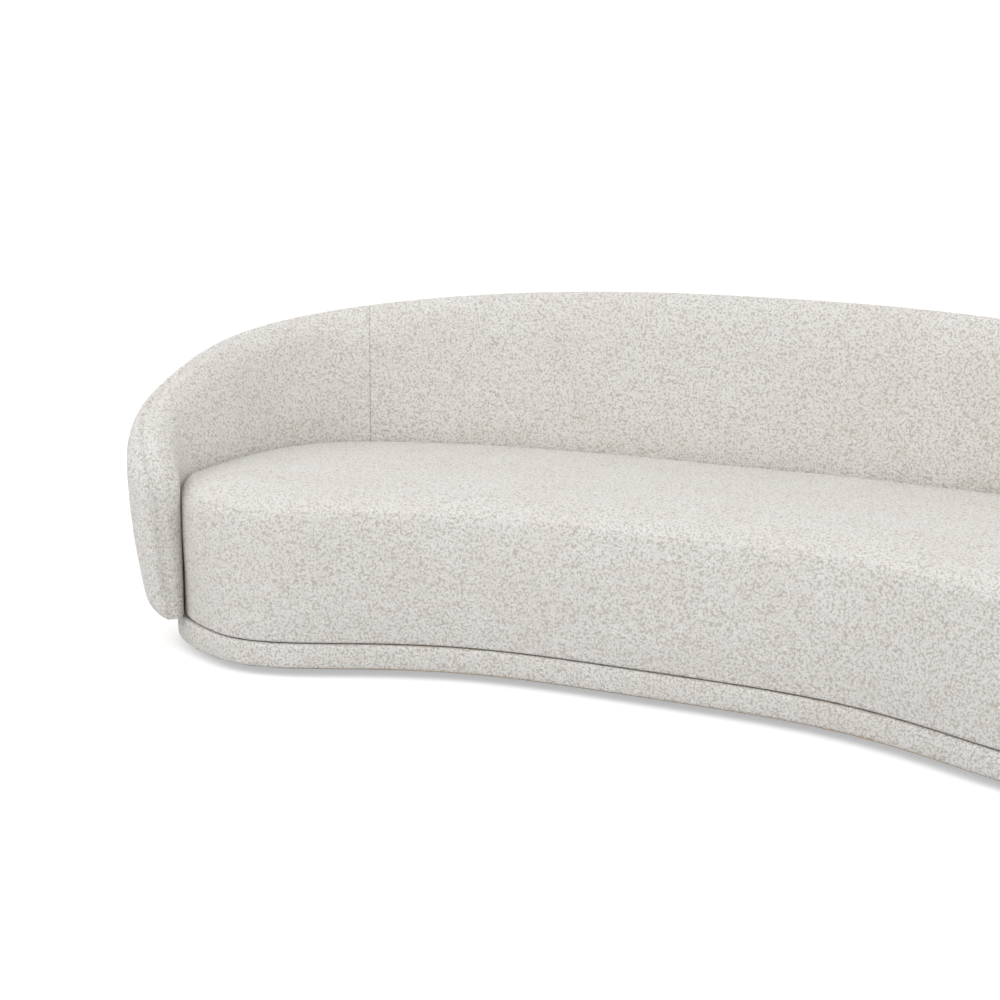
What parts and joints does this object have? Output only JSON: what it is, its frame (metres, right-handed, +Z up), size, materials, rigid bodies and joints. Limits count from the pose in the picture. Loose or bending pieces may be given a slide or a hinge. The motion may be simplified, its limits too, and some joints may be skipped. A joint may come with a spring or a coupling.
{
  "type": "curved upholstered sofa",
  "caption": "Crescent sofa in nubby off-white fabric: tight curved seat on a low recessed plinth, with one rolled shell sweeping round as back and arms.",
  "frame": {"origin": "on the floor, under the middle of the whole sofa", "axes": "+X along the seat to the right as seen from the front, the front faces -Y, +Z up"},
  "size_m": [2.524, 0.9838, 0.778],
  "materials": {
    "upholstery": "nubby looped boucle weave, off-white",
    "foam": "polyurethane foam, hidden under the cover",
    "plywood": "raw plywood",
    "hardwood": "dark stained hardwood, satin",
    "spring_steel": "bright drawn spring wire",
    "zinc_steel": "zinc plated",
    "nylon": "moulded black nylon",
    "dust_cloth": "black non-woven cloth"
  },
  "bodies": {
    "root": {"cross_member_1": "plywood", "cross_member_2": "plywood", "cross_member_3": "plywood", "cross_member_4": "plywood", "deck_board": "plywood", "dust_cover": "dust_cloth", "foot_1": "hardwood", "foot_2": "hardwood", "foot_3": "hardwood", "foot_4": "hardwood", "foot_5": "hardwood", "foot_6": "hardwood", "foot_block_1": "plywood", "foot_block_2": "plywood", "foot_block_3": "plywood", "foot_block_4": "plywood", "foot_block_5": "plywood", "foot_block_6": "plywood", "glide_1": "nylon", "glide_2": "nylon", "glide_3": "nylon", "glide_4": "nylon", "glide_5": "nylon", "glide_6": "nylon", "inside_back_cover": "upholstery", "inside_left_cover": "upholstery", "inside_right_cover": "upholstery", "outer_cover": "upholstery", "plinth_cover": "upholstery", "plinth_rail": "plywood", "seat_boxing": "upholstery", "seat_foam": "foam", "seat_rail": "plywood", "seat_spring_1": "spring_steel", "seat_spring_2": "spring_steel", "seat_spring_3": "spring_steel", "seat_spring_4": "spring_steel", "seat_spring_5": "spring_steel", "seat_top_pad": "upholstery", "shell_bolt_1": "zinc_steel", "shell_bolt_2": "zinc_steel", "shell_bolt_3": "zinc_steel", "shell_bolt_4": "zinc_steel", "shell_bottom_rail": "plywood", "shell_foam": "foam", "shell_rib_1": "plywood", "shell_rib_2": "plywood", "shell_rib_3": "plywood", "shell_rib_4": "plywood", "shell_rib_5": "plywood", "shell_rib_6": "plywood", "shell_rib_7": "plywood", "shell_top_rail": "plywood"}
  },
  "joints": []
}
